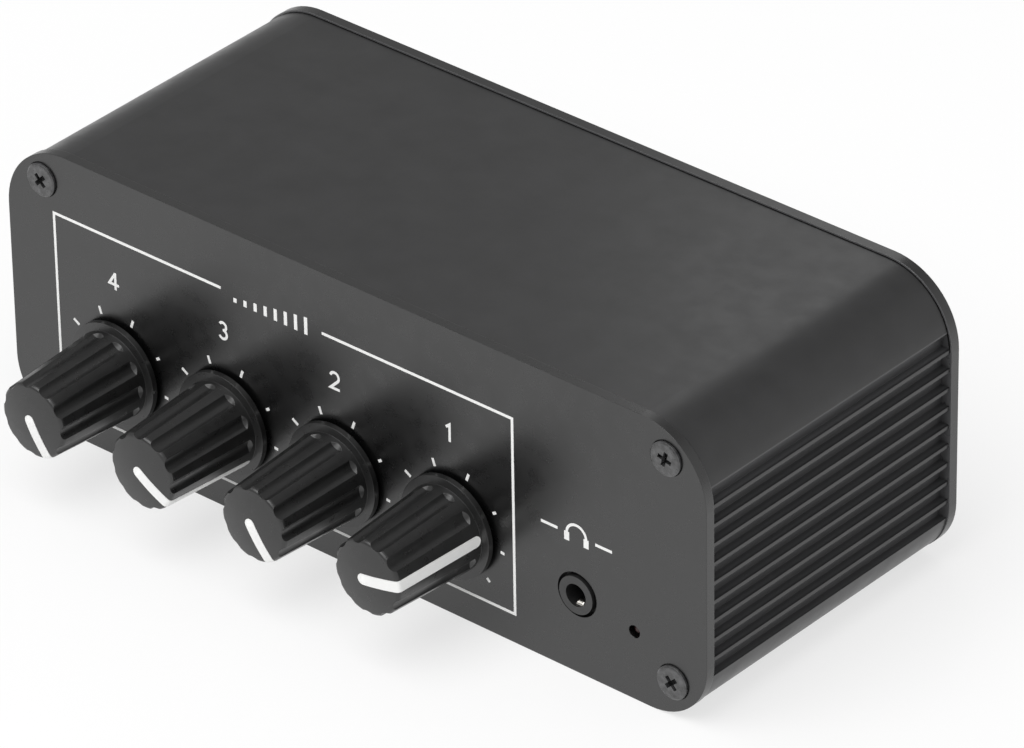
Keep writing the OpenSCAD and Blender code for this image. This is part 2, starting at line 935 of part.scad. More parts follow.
module pilot_lamp_leads() {
    color(steel)
        for (side = [-1, 1])
            translate([lamp_x + side * lamp_lead_x, lamp_end, lamp_z]) {
                block(
                    [-lamp_lead_t / 2, 0, -lamp_lead_t / 2],
                    [lamp_lead_t / 2, lamp_lead_back, lamp_lead_t / 2]
                );
                block(
                    [-lamp_lead_t / 2, lamp_lead_back - lamp_lead_t, board_top - lamp_z],
                    [lamp_lead_t / 2, lamp_lead_back, lamp_lead_t / 2]
                );
            }
}

// Sideways place of a pair of phono sockets; pairs 1 to 4 follow the order of the knobs
function phono_x(n) = phono_side - case_w / 2 + (n > 4 ? n - 1 : 4 - n) * phono_pitch;

module at_row(z) {
    for (n = pairs)
        translate([phono_x(n), 0, z])
            children();
}

module at_phonos() {
    at_row(phono_low_z)
        children();
    at_row(phono_low_z + phono_rise)
        children();
}

module phono_housing(n) {
    color(plastic_black)
        translate([phono_x(n), 0, 0])
            difference() {
                union() {
                    block([-phono_w / 2, phono_front, board_top], [phono_w / 2, rear_inside, phono_top]);
                    for (z = [phono_low_z, phono_low_z + phono_rise])
                        translate([0, 0, z])
                            rod(collar_r, rear_inside - cut, barrel_shoulder);
                }
                for (z = [phono_low_z, phono_low_z + phono_rise])
                    translate([0, 0, z]) {
                        rod(barrel_root_r + press_gap, barrel_start, barrel_shoulder + cut);
                        rod(contact_r + press_gap, contact_start, rear_inside);
                    }
            }
}

// The two barrels of a pair, each with a shoulder that rests on its collar
module phono_barrels(n) {
    color(steel)
        for (z = [phono_low_z, phono_low_z + phono_rise])
            translate([phono_x(n), 0, z])
                difference() {
                    union() {
                        rod(barrel_r, barrel_shoulder, barrel_end);
                        rod(barrel_root_r, barrel_start, barrel_shoulder + cut);
                    }
                    rod(barrel_r - barrel_t, barrel_start - cut, barrel_end + cut);
                }
}

// The coloured insulator in a barrel, stepped inside for the contact tube
module phono_insert() {
    difference() {
        rod(insert_r, barrel_start, insert_end);
        rod(contact_r + press_gap, barrel_start - cut, contact_end + press_gap);
        rod(phono_pin_r, contact_end, insert_end + cut);
    }
}

module phono_inserts_white() {
    color([0.9, 0.9, 0.88])
        at_row(phono_low_z + phono_rise)
            phono_insert();
}

module phono_inserts_red() {
    color([0.62, 0.06, 0.06])
        at_row(phono_low_z)
            phono_insert();
}

module phono_contacts() {
    color(brass)
        at_phonos()
            tube(contact_r, phono_pin_r, contact_start, contact_end);
}

module phono_pins() {
    color(steel)
        at_phono_pins()
            board_pin(board_top);
}

// The contact blade beside the plug's sleeve, from the given distance off the inlet's axis
module inlet_blade(inner, grow) {
    translate([0, inlet_leaf_y, 0])
        block(
            [inner, -inlet_leaf_w / 2 - grow, board_top - inlet_z],
            [inlet_leaf_x + inlet_leaf_t + grow, inlet_leaf_w / 2 + grow, inlet_leaf_w / 2 + grow]
        );
}

module power_inlet() {
    color(plastic_black)
        translate([inlet_x, 0, inlet_z])
            difference() {
                union() {
                    block(
                        [-inlet_w / 2, inlet_front, board_top - inlet_z],
                        [inlet_w / 2, rear_inside, inlet_top - inlet_z]
                    );
                    rod(inlet_nose_r, rear_inside - cut, inlet_mouth);
                }
                rod(inlet_bore_r, inlet_floor, inlet_mouth + cut);
                rod(inlet_pin_r + press_gap, inlet_floor - inlet_pin_root, inlet_mouth);
                inlet_blade(inlet_window, slot_gap);
            }
}

module power_inlet_pin() {
    color(steel)
        translate([inlet_x, 0, inlet_z]) {
            rod(inlet_pin_r, inlet_floor - inlet_pin_root, inlet_pin_end - inlet_pin_r / 2);
            cone(inlet_pin_r, inlet_pin_r / 2, inlet_pin_end - inlet_pin_r / 2, inlet_pin_end);
        }
}

module power_inlet_contacts() {
    color(steel)
        translate([inlet_x, 0, inlet_z])
            inlet_blade(inlet_leaf_x, 0);
}

module at_chips() {
    for (n = pairs)
        translate([phono_x(n), chip_y, board_top])
            children();
}

module op_amps() {
    color(plastic_black)
        at_chips()
            block([-chip_w / 2, -chip_d / 2, chip_stand], [chip_w / 2, chip_d / 2, chip_stand + chip_h]);
}

module op_amp_leads() {
    color(steel)
        at_chips()
            for (i = [-1.5 : 1 : 1.5], side = [0, 1])
                mirror([0, side, 0])
                    translate([i * chip_pitch, chip_d / 2, 0])
                        block([-chip_lead_w / 2, 0, 0], [chip_lead_w / 2, chip_lead_out, chip_lead_h]);
}

module electrolytic_capacitors() {
    color([0.1, 0.11, 0.2])
        for (n = channels, side = [-1, 1])
            translate([knob_x(n) + side * can_spread, can_y, board_top])
                difference() {
                    cylinder(r = can_r, h = can_h);
                    translate([0, 0, can_groove_z])
                        difference() {
                            cylinder(r = can_r + cut, h = can_groove);
                            translate([0, 0, -cut])
                                cylinder(r = can_r - can_groove, h = can_groove + 2 * cut);
                        }
                }
}

module film_capacitors() {
    color([0.55, 0.08, 0.06])
        for (i = [0 : film_count - 1])
            translate([(i - (film_count - 1) / 2) * film_pitch, film_y, board_top])
                block([-film_w / 2, -film_d / 2, 0], [film_w / 2, film_d / 2, film_h]);
}

module resistors() {
    color(plastic_black)
        for (i = [0 : resistor_count - 1])
            translate([(i - (resistor_count - 1) / 2) * resistor_pitch, resistor_y, board_top])
                block(
                    [-chip_resistor[0] / 2, -chip_resistor[1] / 2, 0],
                    [chip_resistor[0] / 2, chip_resistor[1] / 2, chip_resistor[2]]
                );
}

module regulator() {
    color(plastic_black)
        translate([regulator_x, chip_y, board_top])
            block([-regulator_w / 2, -regulator_d / 2, 0], [regulator_w / 2, regulator_d / 2, regulator_h]);
}

case_shell();
front_panel();
rear_panel();
front_screws();
rear_screws();
main_board();
for (n = channels) {
    knob(n);
    pointer(n);
    pot_shaft(n);
    pot_wipers(n);
    pot_housing(n);
}
pot_bushings();
pot_wafers();
pot_pins();
pot_nuts();
pot_washers();
phones_jack();
phones_contacts();
pilot_lamp();
pilot_lamp_leads();
for (n = pairs) {
    phono_housing(n);
    phono_barrels(n);
}
phono_inserts_white();
phono_inserts_red();
phono_contacts();
phono_pins();
power_inlet();
power_inlet_pin();
power_inlet_contacts();
op_amps();
op_amp_leads();
electrolytic_capacitors();
film_capacitors();
resistors();
regulator();
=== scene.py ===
import math

import bmesh
import bpy
from mathutils import Matrix, Vector


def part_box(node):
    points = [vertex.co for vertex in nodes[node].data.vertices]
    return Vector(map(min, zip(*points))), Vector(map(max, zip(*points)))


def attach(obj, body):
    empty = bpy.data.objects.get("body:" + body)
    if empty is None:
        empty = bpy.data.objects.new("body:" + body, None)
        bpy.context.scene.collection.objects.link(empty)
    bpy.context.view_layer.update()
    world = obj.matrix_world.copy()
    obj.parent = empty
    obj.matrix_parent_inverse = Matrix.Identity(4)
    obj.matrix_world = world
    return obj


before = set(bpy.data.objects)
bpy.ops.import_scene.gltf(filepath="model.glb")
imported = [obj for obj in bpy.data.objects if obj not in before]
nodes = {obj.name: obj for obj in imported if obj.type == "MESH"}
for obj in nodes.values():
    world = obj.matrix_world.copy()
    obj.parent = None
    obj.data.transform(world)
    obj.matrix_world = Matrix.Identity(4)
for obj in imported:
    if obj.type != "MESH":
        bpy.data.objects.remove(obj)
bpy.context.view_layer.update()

MM = 0.001
CHANNELS = (1, 2, 3, 4)


# Places on the frame, in millimetres

def low(node):
    """Lowest corner of a CAD node."""
    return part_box(node)[0] / MM


def high(node):
    """Highest corner of a CAD node."""
    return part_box(node)[1] / MM


def middle(node):
    """Middle of a CAD node's box."""
    return (low(node) + high(node)) / 2


FRONT_FACE = low("front_panel").y
REAR_FACE = high("rear_panel").y
KNOBS = {n: middle(f"knob_{n}") for n in CHANNELS}
SKIRT_R = (high("knob_1").x - low("knob_1").x) / 2
JACK = middle("phones_jack")
# The headphone hole lies off the middle of the jack's box
JACK_Z = 12.9
INLET = middle("power_inlet_pin")


# Shader nodes

def new_material(name):
    """A material with a bare principled shader, as (material, node tree, shader)."""
    material = bpy.data.materials.new(name)
    material.use_nodes = True
    tree = material.node_tree
    return material, tree, tree.nodes["Principled BSDF"]


def add_node(tree, kind, **values):
    """A shader node, with its properties or its inputs set by name."""
    made = tree.nodes.new(kind)
    for key, value in values.items():
        if key in made.bl_rna.properties:
            setattr(made, key, value)
        else:
            made.inputs[key.replace("_", " ")].default_value = value
    return made


# Most values of a noise lie between these two
NOISE_LOW, NOISE_HIGH = 0.3, 0.7


def noise(tree, size_mm, stretch=(1, 1, 1), detail=4.0, seed=0.0):
    """Value of a noise whose blobs are about size_mm wide, drawn out along an axis by stretch."""
    place = add_node(tree, "ShaderNodeTexCoord")
    shift = add_node(tree, "ShaderNodeMapping")
    shift.inputs["Scale"].default_value = [1 / s for s in stretch]
    shift.inputs["Location"].default_value = (seed, 0.7 * seed, 0.3 * seed)
    made = add_node(tree, "ShaderNodeTexNoise", Scale=1 / (size_mm * MM), Detail=detail)
    tree.links.new(place.outputs["Object"], shift.inputs["Vector"])
    tree.links.new(shift.outputs["Vector"], made.inputs["Vector"])
    return made.outputs["Fac"]


def mapped(tree, value, start, end, from_start=NOISE_LOW, from_end=NOISE_HIGH):
    """A value moved from one range, by default that of a noise, to another."""
    made = add_node(tree, "ShaderNodeMapRange")
    made.inputs["From Min"].default_value = from_start
    made.inputs["From Max"].default_value = from_end
    made.inputs["To Min"].default_value = start
    made.inputs["To Max"].default_value = end
    tree.links.new(value, made.inputs["Value"])
    return made.outputs["Result"]


def tinted(tree, value, dark, light):
    """A colour between two others, by the value of a noise."""
    made = add_node(tree, "ShaderNodeValToRGB")
    made.color_ramp.elements[0].position = NOISE_LOW
    made.color_ramp.elements[0].color = (*dark, 1)
    made.color_ramp.elements[1].position = NOISE_HIGH
    made.color_ramp.elements[1].color = (*light, 1)
    tree.links.new(value, made.inputs["Fac"])
    return made.outputs["Color"]


def axes(tree, space):
    """The X, Y and Z of a point, in the object's space or the generated one."""
    place = add_node(tree, "ShaderNodeTexCoord")
    parts = add_node(tree, "ShaderNodeSeparateXYZ")
    tree.links.new(place.outputs[space], parts.inputs["Vector"])
    return parts.outputs


def combined(tree, operation, first, second):
    """One value from two, by a sum, a product or the like."""
    made = add_node(tree, "ShaderNodeMath", operation=operation)
    tree.links.new(first, made.inputs[0])
    tree.links.new(second, made.inputs[1])
    return made.outputs["Value"]


def mix_colour(material, part, colour):
    """Mixes a colour into a finish, where part is one."""
    tree = material.node_tree
    shader = tree.nodes["Principled BSDF"]
    outside = shader.inputs["Base Color"].links[0].from_socket
    mix = add_node(tree, "ShaderNodeMixRGB", Color2=colour)
    tree.links.new(part, mix.inputs["Fac"])
    tree.links.new(outside, mix.inputs["Color1"])
    tree.links.new(mix.outputs["Color"], shader.inputs["Base Color"])


def bump(tree, shader, value, depth_mm):
    """Raises the surface by a value, up to depth_mm, on top of any bump that it has."""
    made = add_node(tree, "ShaderNodeBump", Strength=1.0, Distance=depth_mm * MM)
    tree.links.new(value, made.inputs["Height"])
    if shader.inputs["Normal"].is_linked:
        tree.links.new(shader.inputs["Normal"].links[0].from_socket, made.inputs["Normal"])
    tree.links.new(made.outputs["Normal"], shader.inputs["Normal"])


def soften_edges(tree, shader, radius_mm):
    """Rounds the sharp edges of a surface a little."""
    made = add_node(tree, "ShaderNodeBevel", samples=6, Radius=radius_mm * MM)
    tree.links.new(made.outputs["Normal"], shader.inputs["Normal"])


def shade(colour, factor):
    """A colour made darker or lighter."""
    return tuple(min(1.0, c * factor) for c in colour)


# Finishes, one for each material slot of the record and one for the painted shade at the seams

def finish(name, colour, spread, roughness, mottle_mm, grain_mm, depth_mm,
           metallic=0.0, ior=1.5, edge_mm=0.0):
    """A surface with a mottled colour, uneven gloss, a fine grain and softened edges."""
    material, tree, shader = new_material(name)
    if edge_mm:
        soften_edges(tree, shader, edge_mm)
    shader.inputs["Metallic"].default_value = metallic
    shader.inputs["IOR"].default_value = ior
    mottle = noise(tree, mottle_mm)
    colours = tinted(tree, mottle, shade(colour, 1 - spread), shade(colour, 1 + spread))
    tree.links.new(colours, shader.inputs["Base Color"])
    gloss = mapped(tree, noise(tree, 0.6 * mottle_mm, seed=3.1), *roughness)
    tree.links.new(gloss, shader.inputs["Roughness"])
    bump(tree, shader, noise(tree, grain_mm, detail=2.0, seed=7.7), depth_mm)
    return material, tree, shader


def anodised(name, colour, roughness, draw, ior):
    """Black anodised aluminium with a blasted grain, and lines drawn out along one axis."""
    material, tree, shader = finish(name, colour, spread=0.18, roughness=roughness, mottle_mm=5.0,
                                    grain_mm=0.18, depth_mm=0.003, ior=ior, edge_mm=0.15)
    bump(tree, shader, noise(tree, 0.35, draw, detail=3.0, seed=1.9), depth_mm=0.002)
    return material


def case_black():
    """Anodised black, with painted light in the side grooves: a paler colour there, matched to the tone
    they show, stands in for how they are lit.
    """
    material = anodised("case_black", (0.014, 0.014, 0.0145), roughness=(0.32, 0.4),
                        draw=(1, 60, 1), ior=1.58)
    # Painted light: a paler colour in the side grooves, though the shell is the same anodised black there.
    mix_colour(material, groove_light_mask(material.node_tree), (0.062, 0.062, 0.064, 1))
    return material


def groove_light_mask(tree):
    """One in the side grooves, where light is painted, nought on the outside of the case."""
    side = high("case_shell").x
    shallow, deep, low_z, high_z, fade = 0.15, 0.5, 7.8, 38.7, 0.1
    at = axes(tree, "Object")
    away = add_node(tree, "ShaderNodeMath", operation="ABSOLUTE")
    tree.links.new(at["X"], away.inputs[0])
    depth = mapped(tree, away.outputs["Value"], 0, 1, (side - shallow) * MM, (side - deep) * MM)
    above = mapped(tree, at["Z"], 0, 1, (low_z - fade) * MM, low_z * MM)
    below = mapped(tree, at["Z"], 0, 1, (high_z + fade) * MM, high_z * MM)
    return combined(tree, "MULTIPLY", depth, combined(tree, "MULTIPLY", above, below))


def panel_black():
    """Deep anodised black, with painted light on the inside of the rear panel: a paler colour there lifts
    the shaded groove ends to the tone they show.
    """
    material = anodised("panel_black", (0.002, 0.002, 0.0021), roughness=(0.25, 0.32),
                        draw=(40, 1, 1), ior=1.725)
    inner, skin, fade = low("rear_panel").y, 0.02, 0.04
    tree = material.node_tree
    at = axes(tree, "Object")
    behind = mapped(tree, at["Y"], 0, 1, 0, MM)
    inside = mapped(tree, at["Y"], 1, 0, (inner + skin) * MM, (inner + skin + fade) * MM)
    # Painted light: a paler colour on the inner face of the rear panel, where it shows at the ends of the
    # grooves.
    mix_colour(material, combined(tree, "MULTIPLY", behind, inside), (0.09, 0.09, 0.093, 1))
    return material


def screw_black():
    return finish("screw_black", (0.04, 0.04, 0.041), spread=0.8, roughness=(0.22, 0.4), mottle_mm=0.9,
                  grain_mm=0.35, depth_mm=0.012, ior=1.7, edge_mm=0.08)[0]


def knob_black():
    return finish("knob_black", (0.011, 0.011, 0.011), spread=0.15, roughness=(0.26, 0.36),
                  mottle_mm=2.0, grain_mm=0.14, depth_mm=0.003, ior=1.62, edge_mm=0.1)[0]


def plastic_black():
    return finish("plastic_black", (0.013, 0.013, 0.013), spread=0.15, roughness=(0.34, 0.46),
                  mottle_mm=2.0, grain_mm=0.2, depth_mm=0.004, ior=1.6)[0]


def pointer_white():
    return finish("pointer_white", (0.86, 0.86, 0.85), spread=0.02, roughness=(0.45, 0.55),
                  mottle_mm=1.5, grain_mm=0.12, depth_mm=0.002)[0]


def insert_white():
    return finish("insert_white", (0.8, 0.8, 0.77), spread=0.03, roughness=(0.35, 0.45), mottle_mm=1.5,
                  grain_mm=0.2, depth_mm=0.003)[0]


def insert_red():
    return finish("insert_red", (0.42, 0.018, 0.016), spread=0.08, roughness=(0.35, 0.45),
                  mottle_mm=1.5, grain_mm=0.2, depth_mm=0.003)[0]


def lamp_lens():
    """Dark red resin."""
    return finish("lamp_lens", (0.03, 0.012, 0.012), spread=0.2, roughness=(0.2, 0.3), mottle_mm=0.8,
                  grain_mm=0.3, depth_mm=0.001, ior=1.5)[0]


def nickel():
    return finish("nickel", (0.62, 0.6, 0.56), spread=0.05, roughness=(0.16, 0.26), mottle_mm=1.2,
                  grain_mm=0.25, depth_mm=0.0015, metallic=1.0)[0]


def steel():
    return finish("steel", (0.5, 0.5, 0.49), spread=0.08, roughness=(0.26, 0.38), mottle_mm=0.9,
                  grain_mm=0.2, depth_mm=0.003, metallic=1.0)[0]


def brass():
    return finish("brass", (0.72, 0.5, 0.2), spread=0.08, roughness=(0.22, 0.34), mottle_mm=0.9,
                  grain_mm=0.2, depth_mm=0.002, metallic=1.0)[0]


def phenolic():
    return finish("phenolic", (0.16, 0.07, 0.025), spread=0.2, roughness=(0.5, 0.65), mottle_mm=1.5,
                  grain_mm=0.15, depth_mm=0.01)[0]


def board_green():
    """Solder mask over a web of tracks."""
    track_pitch, track_edge, track_foot, track_rise = 2.6, 0.05, 0.09, 0.03
    material, tree, shader = finish("board_green", (0.012, 0.075, 0.03), spread=0.2,
                                    roughness=(0.25, 0.4), mottle_mm=4.0, grain_mm=0.5, depth_mm=0.004)
    tracks = add_node(tree, "ShaderNodeTexVoronoi", feature="DISTANCE_TO_EDGE", distance="CHEBYCHEV",
                      Scale=1 / (track_pitch * MM))
    place = add_node(tree, "ShaderNodeTexCoord")
    tree.links.new(place.outputs["Object"], tracks.inputs["Vector"])
    raised = mapped(tree, tracks.outputs["Distance"], 1.0, 0.0, track_edge, track_foot)
    bump(tree, shader, raised, depth_mm=track_rise)
    return material


def can_sleeve():
    return finish("can_sleeve", (0.012, 0.014, 0.045), spread=0.15, roughness=(0.25, 0.35),
                  mottle_mm=1.5, grain_mm=0.3, depth_mm=0.003)[0]


def film_red():
    return finish("film_red", (0.3, 0.02, 0.015), spread=0.12, roughness=(0.3, 0.42), mottle_mm=1.5,
                  grain_mm=0.3, depth_mm=0.005)[0]


def seam_shade():
    """Painted shade: a dark finish for the angle where a panel meets the shell, which is only in shade."""
    return finish("seam_shade", (0.004, 0.004, 0.004), spread=0.2, roughness=(0.7, 0.8), mottle_mm=1.5,
                  grain_mm=0.2, depth_mm=0.004, ior=1.2)[0]


def dress_nodes():
    """Gives every CAD node the finish of its slot, made once for each slot."""
    makers = (case_black, panel_black, screw_black, knob_black, plastic_black, pointer_white, insert_white,
              insert_red, lamp_lens, nickel, steel, brass, phenolic, board_green, can_sleeve, film_red)
    slots = {}
    for node in nodes.values():
        for slot in node.material_slots:
            slots.setdefault(slot.material.name, []).append(slot)
    for old in [slot.material for uses in slots.values() for slot in uses]:
        old.name = "packed." + old.name.removeprefix("packed.")
    made = {maker.__name__: maker() for maker in makers}
    for name, uses in slots.items():
        for slot in uses:
            slot.material = made[name]
    return made


finishes = dress_nodes()


# Print on the panels, as thin raised strokes

INK_PROUD = 0.03
INK_SUNK = 0.02
INK_STEP = 0.006
LINE_W = 0.45
TICK_W = 0.45
DIGIT_H = 2.9
DIGIT_W = 0.42


class Plate:
    """A flat face to print on: u to the right and v up, seen from outside, in millimetres."""

    def __init__(self, origin, right, up):
        self.origin = Vector(origin)
        self.right = Vector(right)
        self.up = Vector(up)
        self.out = self.right.cross(self.up)

    def point(self, u, v, out):
        """The place at u and v, and out from the face, in metres."""
        return (self.origin + u * self.right + v * self.up + out * self.out) * MM


FRONT = Plate((0, FRONT_FACE, 0), (1, 0, 0), (0, 0, 1))
REAR = Plate((0, REAR_FACE, 0), (-1, 0, 0), (0, 0, 1))


def arc(u, v, r, start, end, steps=14):
    """Points along an arc, with its angles in degrees from the right, anticlockwise."""
    angles = [math.radians(start + (end - start) * i / steps) for i in range(steps + 1)]
    return [(u + r * math.cos(a), v + r * math.sin(a)) for a in angles]


def sides(points, width):
    """The left and right edges of a stroke along points, with mitred bends."""
    flat = [Vector(p) for p in points]
    runs = [(b - a).normalized() for a, b in zip(flat, flat[1:])]
    left, right = [], []
    for i, p in enumerate(flat):
        before = runs[max(i - 1, 0)]
        after = runs[min(i, len(runs) - 1)]
        across = Vector((-before.y - after.y, before.x + after.x)).normalized()
        reach = width / 2 / across.dot(Vector((-after.y, after.x)))
        left.append(p + reach * across)
        right.append(p - reach * across)
    return left, right


def add_stroke(mesh, plate, points, width, proud):
    """Adds one closed stroke to a mesh, standing proud of the plate."""
    left, right = sides(points, width)
    rings = []
    for l, r in zip(left, right):
        corners = ((l, proud), (r, proud), (r, -INK_SUNK), (l, -INK_SUNK))
        rings.append([mesh.verts.new(plate.point(p.x, p.y, out)) for p, out in corners])
    for a, b in zip(rings, rings[1:]):
        for i in range(4):
            j = (i + 1) % 4
            mesh.faces.new((a[i], a[j], b[j], b[i]))
    mesh.faces.new(list(reversed(rings[0])))
    mesh.faces.new(rings[-1])


def to_object(mesh, name, body, slot):
    """Turns a bmesh into a piece that rides on a body and takes the finish of a slot."""
    bmesh.ops.recalc_face_normals(mesh, faces=mesh.faces)
    data = bpy.data.meshes.new(name)
    mesh.to_mesh(data)
    mesh.free()
    piece = bpy.data.objects.new(name, data)
    bpy.context.scene.collection.objects.link(piece)
    data.materials.append(finishes[slot])
    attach(piece, body)
    return piece


def print_strokes(name, plate, strokes):
    """A printed sign made of strokes, each a list of points and a width, laid at two heights by turns."""
    mesh = bmesh.new()
    for i, (points, width) in enumerate(strokes):
        add_stroke(mesh, plate, points, width, INK_PROUD + INK_STEP * (i % 2))
    return to_object(mesh, name, "case", "pointer_white")


def digit_lines(n):
    """The lines of a digit of height 1, about its middle line."""
    if n == 1:
        return [[(-0.17, 0.78), (0.06, 0.97), (0.06, 0.0)]]
    if n == 2:
        return [arc(0, 0.7, 0.27, 165, -38) + [(-0.27, 0.06), (0.32, 0.06)]]
    if n == 3:
        return [arc(0, 0.72, 0.22, 150, -90), arc(0, 0.27, 0.25, 90, -155)]
    return [[(0.13, 0.0), (0.13, 0.98)], [(0.13, 0.94), (-0.28, 0.3), (0.36, 0.3)]]


def digit(n, u, v):
    """Strokes of a digit that stands on v, with its middle at u."""
    return [([(u + DIGIT_H * x, v + DIGIT_H * y) for x, y in line], DIGIT_W) for line in digit_lines(n)]


def print_front_frame():
    """The line round the four knobs, open at the top for the sign."""
    left, right, bottom, top = -56.0, 30.4, 4.8, 37.0
    gap_left, gap_right = -23.7, -4.6
    line = [(gap_right, top), (right, top), (right, bottom), (left, bottom), (left, top), (gap_left, top)]
    print_strokes("print_frame", FRONT, [(line, LINE_W)])


def print_ramp():
    """A row of rising bars, the sign for volume, in the frame's gap."""
    first, last, base = -21.0, -7.6, 35.6
    least, most, count, bar_w = 0.7, 2.8, 8, 0.6
    strokes = []
    for i in range(count):
        part = i / (count - 1)
        u = first + part * (last - first)
        strokes.append(([(u, base), (u, base + least + part * (most - least))], bar_w))
    print_strokes("print_volume_sign", FRONT, strokes)


def print_scales():
    """The ticks round each knob, short on the right, and the number of its channel."""
    tick_angles = (19.3, 57.9, 96.4, 135.0)
    long_tick, short_tick = (0.7, 1.95), (0.95, 1.65)
    digit_aside, digit_rise = -0.2, 13.45
    for n in CHANNELS:
        x, z = KNOBS[n].x, KNOBS[n].z
        strokes = digit(n, x + digit_aside, z + digit_rise)
        for a in [side * angle for angle in tick_angles for side in (-1, 1)]:
            along = Vector((math.sin(math.radians(a)), math.cos(math.radians(a))))
            reach = short_tick if a > tick_angles[0] else long_tick
            ends = [Vector((x, z)) + (SKIRT_R + d) * along for d in reach]
            strokes.append(([tuple(p) for p in ends], TICK_W))
        print_strokes(f"print_scale_{n}", FRONT, strokes)


def print_phones_sign():
    """Headphones between two short lines, above the jack."""
    x, z = JACK.x, 22.5
    band_r, cup_h, cup_w, cup_lap = 1.75, 1.3, 0.9, 0.1
    dash_start, dash_end = 3.4, 6.4
    strokes = [(arc(x, z, band_r, 0, 180, 20), DIGIT_W)]
    for side in (-1, 1):
        strokes.append(([(x + side * band_r, z + cup_lap), (x + side * band_r, z - cup_h)], cup_w))
        strokes.append(([(x + side * dash_start, z), (x + side * dash_end, z)], LINE_W))
    print_strokes("print_phones_sign", FRONT, strokes)


def print_rear():
    """The channel numbers over their sockets, an arrow over the output and the signs of the inlet."""
    base, line_v, line_past = 37.4, 35.9, 6
    arrow_rise, arrow_len, inlet_v = 1.4, 4.4, 23.0
    strokes = []
    for n in CHANNELS:
        strokes += digit(n, -middle(f"phono_housing_{n}").x, base)
    ends = [-middle(f"phono_housing_{n}").x for n in (CHANNELS[0], CHANNELS[-1])]
    strokes.append(([(ends[0] - line_past, line_v), (ends[1] + line_past, line_v)], LINE_W))
    print_strokes("print_inputs", REAR, strokes)
    output_u = -middle("phono_housing_5").x
    print_strokes("print_output", REAR, arrow_sign(output_u, base + arrow_rise, arrow_len))
    print_strokes("print_inlet", REAR, inlet_signs(-INLET.x, inlet_v))


def arrow_sign(u, v, length):
    """An arrow that points up from a short line."""
    head_w, head_h, foot_w, foot_gap, tip_gap = 1.1, 1.3, 1.6, 0.7, 0.3
    tip = v + length / 2
    head = [(u - head_w, tip - head_h), (u, tip), (u + head_w, tip - head_h)]
    shaft = [(u, v - length / 2 + foot_gap), (u, tip - tip_gap)]
    foot = [(u - foot_w, v - length / 2), (u + foot_w, v - length / 2)]
    return [(head, DIGIT_W), (shaft, DIGIT_W), (foot, DIGIT_W)]


def inlet_signs(u, v):
    """The sign for direct current, and above it the poles of the plug with plus at the middle."""
    strokes = [([(u - 2, v + 1.1), (u + 2, v + 1.1)], DIGIT_W)]
    strokes += [([(u + x - 0.5, v), (u + x + 0.5, v)], DIGIT_W) for x in (-1.5, 0, 1.5)]
    ring_v, ring_r, thin = v + 5.2, 1.3, 0.34
    strokes.append((arc(u, ring_v, ring_r, 35, 325, 24), thin))
    level_lines = ((-1.3, -2.6), (-0.3, 2.6), (-4.2, -3.0), (3.0, 4.2))
    strokes += [([(u + a, ring_v), (u + b, ring_v)], thin) for a, b in level_lines]
    strokes.append(([(u + 3.6, ring_v - 0.6), (u + 3.6, ring_v + 0.6)], thin))
    return strokes


print_front_frame()
print_ramp()
print_scales()
print_phones_sign()
print_rear()


# The spring in the jack and the painted shade at the seams of the panels

def add_sheet(mesh, rows):
    """Adds a grid of points as a surface."""
    grid = [[mesh.verts.new(p * MM) for p in row] for row in rows]
    for a, b in zip(grid, grid[1:]):
        for i in range(len(a) - 1):
            mesh.faces.new((a[i], a[i + 1], b[i + 1], b[i]))
    return grid


def close_sheets(mesh, top, bottom):
    """Joins the rims of two grids of the same size."""
    def rim(grid):
        right = [row[-1] for row in grid[1:-1]]
        left = [row[0] for row in reversed(grid[1:-1])]
        return grid[0] + right + list(reversed(grid[-1])) + left
    a, b = rim(top), rim(bottom)
    for i in range(len(a)):
        j = (i + 1) % len(a)
        mesh.faces.new((a[j], a[i], b[i], b[j]))


def jack_spring():
    """The bent contact that shows at the bottom of the headphone hole."""
    front = low("phones_jack").y
    bore_r, half_w, thick, crown_h, aside = 1.8, 0.65, 0.16, 0.12, 0.25
    half_count = 3
    bend = ((0.45, 0.02), (0.7, 0.3), (1.05, 0.5), (1.5, 0.55), (2.1, 0.38), (3.0, 0.16), (4.2, 0.04))
    layers = []
    for drop in (0.0, thick):
        rows = []
        for i in range(2 * half_count + 1):
            u = half_w * (i / half_count - 1)
            wall = JACK_Z - math.sqrt(bore_r * bore_r - u * u)
            crown = crown_h * (1 - (u / half_w) ** 2)
            x, z = JACK.x + aside + u, wall + crown - drop
            rows.append([Vector((x, front + deep, z + rise)) for deep, rise in bend])
        layers.append(rows)
    mesh = bmesh.new()
    close_sheets(mesh, add_sheet(mesh, layers[0]), add_sheet(mesh, layers[1]))
    for face in mesh.faces:
        face.smooth = True
    return to_object(mesh, "jack_spring", "case", "nickel")


def seam_shade_strip(name, panel_y, shell_y, material):
    """A strip of painted shade in the angle of a panel and the shell, over the top and its two corners."""
    corner_r, proud, sunk = 11.2, 0.03, 0.1
    half, top = high("case_shell").x, high("case_shell").z
    middle_u, middle_v = half - corner_r, top - corner_r
    layers = []
    for lift in (proud, -sunk):
        r = corner_r + lift
        line = arc(-middle_u, middle_v, r, 180, 90) + arc(middle_u, middle_v, r, 90, 0)
        layers.append([[Vector((u, y, v)) for u, v in line] for y in (panel_y, shell_y)])
    mesh = bmesh.new()
    close_sheets(mesh, add_sheet(mesh, layers[0]), add_sheet(mesh, layers[1]))
    piece = to_object(mesh, name, "case", "plastic_black")
    piece.data.materials[0] = material


